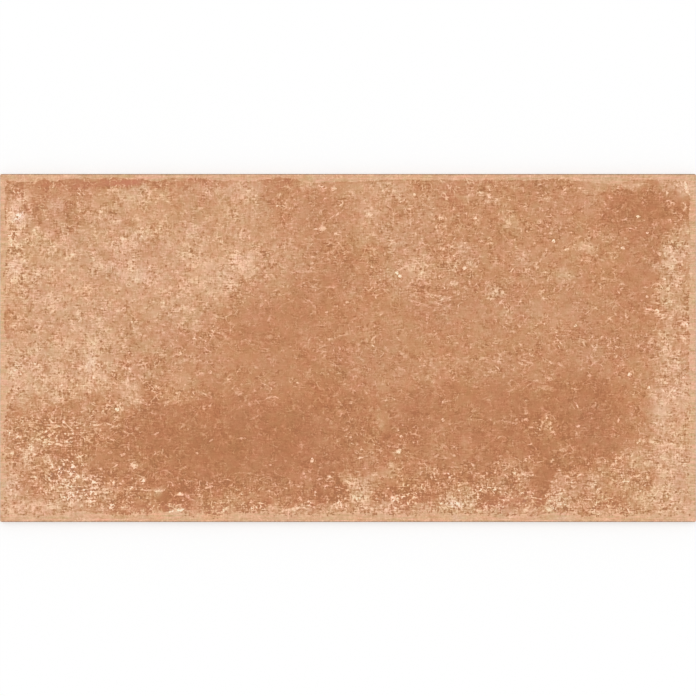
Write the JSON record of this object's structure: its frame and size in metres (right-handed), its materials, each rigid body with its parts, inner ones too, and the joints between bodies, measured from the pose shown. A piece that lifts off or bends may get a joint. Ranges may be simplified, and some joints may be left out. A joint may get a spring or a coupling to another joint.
{
  "type": "porcelain floor tile",
  "caption": "Flat rectangular porcelain floor tile with a worn terracotta face, softly sloped margins, rounded arris and a shallow waffle-keyed back for tile adhesive.",
  "frame": {"origin": "middle of the back, on the plane that the tile rests on or is bedded to", "axes": "+X along the tile's length, +Y across its width, +Z out of the walking face"},
  "size_m": [0.6, 0.3, 0.0095],
  "materials": {
    "tile": "matte"
  },
  "bodies": {
    "root": {"tile": "tile"}
  },
  "joints": []
}
